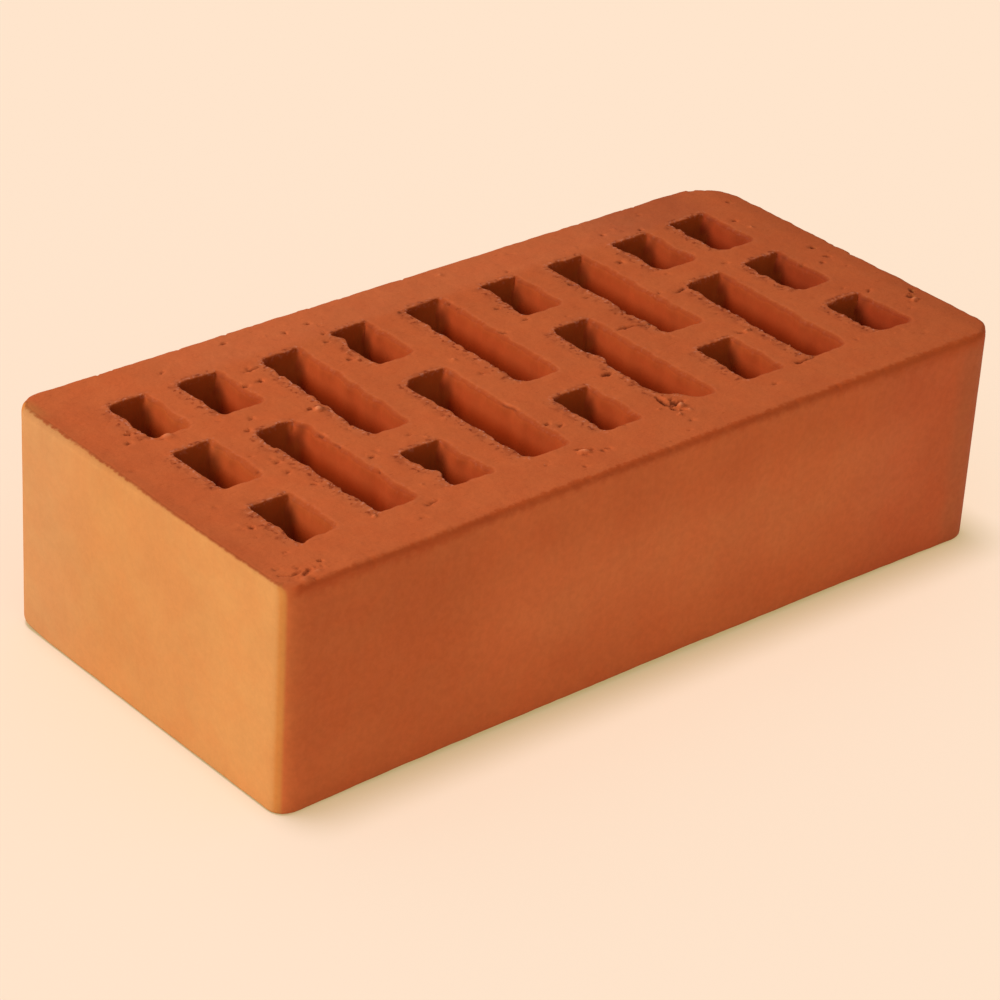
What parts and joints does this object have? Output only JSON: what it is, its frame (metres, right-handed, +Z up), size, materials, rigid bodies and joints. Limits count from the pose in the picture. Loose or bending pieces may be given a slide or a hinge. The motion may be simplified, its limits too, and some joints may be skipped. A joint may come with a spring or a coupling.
{
  "type": "clay brick",
  "caption": "Perforated fired-clay facing brick with upright holes and slots through its beds, rounded corners and smooth faces, laid in mortar courses.",
  "frame": {"origin": "centre of the lower bed face, on the level that the brick lies on", "axes": "+X along the length towards the right header end, +Y across the width from the front stretcher face to the back one, +Z up from bed to bed, along the perforations"},
  "size_m": [0.25, 0.12, 0.065],
  "materials": {
    "fired_clay": "matt fired clay, smooth on the sides, wire-cut on the beds"
  },
  "bodies": {
    "root": {"brick": "fired_clay"}
  },
  "joints": []
}
